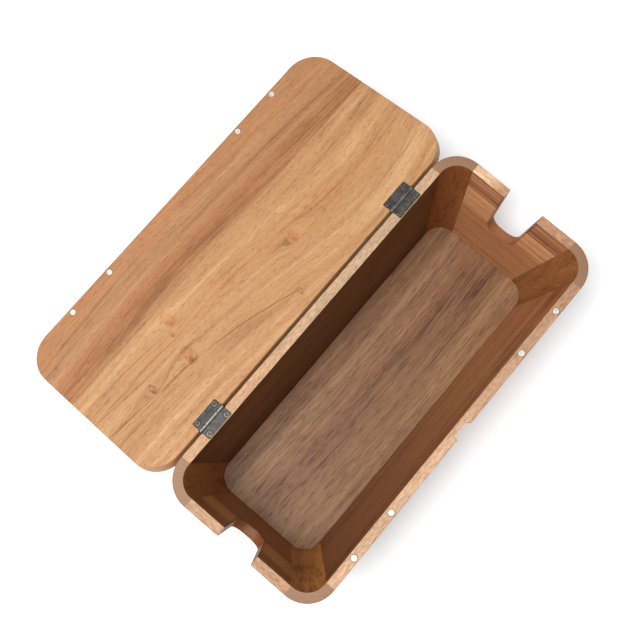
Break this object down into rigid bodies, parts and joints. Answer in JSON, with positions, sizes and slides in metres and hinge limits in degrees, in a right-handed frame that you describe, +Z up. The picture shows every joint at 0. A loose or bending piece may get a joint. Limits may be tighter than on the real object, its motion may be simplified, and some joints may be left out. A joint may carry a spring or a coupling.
{
  "type": "cable management box",
  "caption": "Long wooden box with rounded corner posts, inward-leaning walls, open-topped cable slots in both ends, and a flat magnetic lid hinged along the back.",
  "frame": {"origin": "centre of the flat underside of the box body", "axes": "+Z up, +X along the length with the hinges at the back, the open lid lies towards +Y"},
  "size_m": [0.4134, 0.3508, 0.1373],
  "materials": {
    "wall_wood": "oiled, satin",
    "post_wood": "oiled, satin",
    "panel_wood": "oiled, satin",
    "lid_wood": "oiled, satin",
    "magnet": "nickel-plated, satin",
    "hinge_steel": "dark plated, mottled",
    "screw_steel": "nickel-plated"
  },
  "bodies": {
    "box": {"front_wall": "wall_wood", "back_wall": "wall_wood", "left_end_wall": "wall_wood", "right_end_wall": "wall_wood", "corner_post_front_left": "post_wood", "corner_post_front_right": "post_wood", "corner_post_back_left": "post_wood", "corner_post_back_right": "post_wood", "bottom_panel": "panel_wood", "rim_magnet_1": "magnet", "rim_magnet_2": "magnet", "rim_magnet_3": "magnet", "rim_magnet_4": "magnet", "left_hinge_box_leaf": "hinge_steel", "right_hinge_box_leaf": "hinge_steel", "left_hinge_pin": "hinge_steel", "right_hinge_pin": "hinge_steel", "left_hinge_box_screws": "screw_steel", "right_hinge_box_screws": "screw_steel"},
    "lid": {"lid_front_board": "lid_wood", "lid_back_board": "lid_wood", "lid_magnet_1": "magnet", "lid_magnet_2": "magnet", "lid_magnet_3": "magnet", "lid_magnet_4": "magnet", "left_hinge_lid_leaf": "hinge_steel", "right_hinge_lid_leaf": "hinge_steel", "left_hinge_lid_screws": "screw_steel", "right_hinge_lid_screws": "screw_steel"}
  },
  "joints": [
    {"name": "lid_hinge", "type": "hinge", "parent": "box", "child": "lid", "pos_m": [0, 0.0896, 0.1351], "axis": [1, 0, 0], "range_deg": [0, 192.5]}
  ]
}
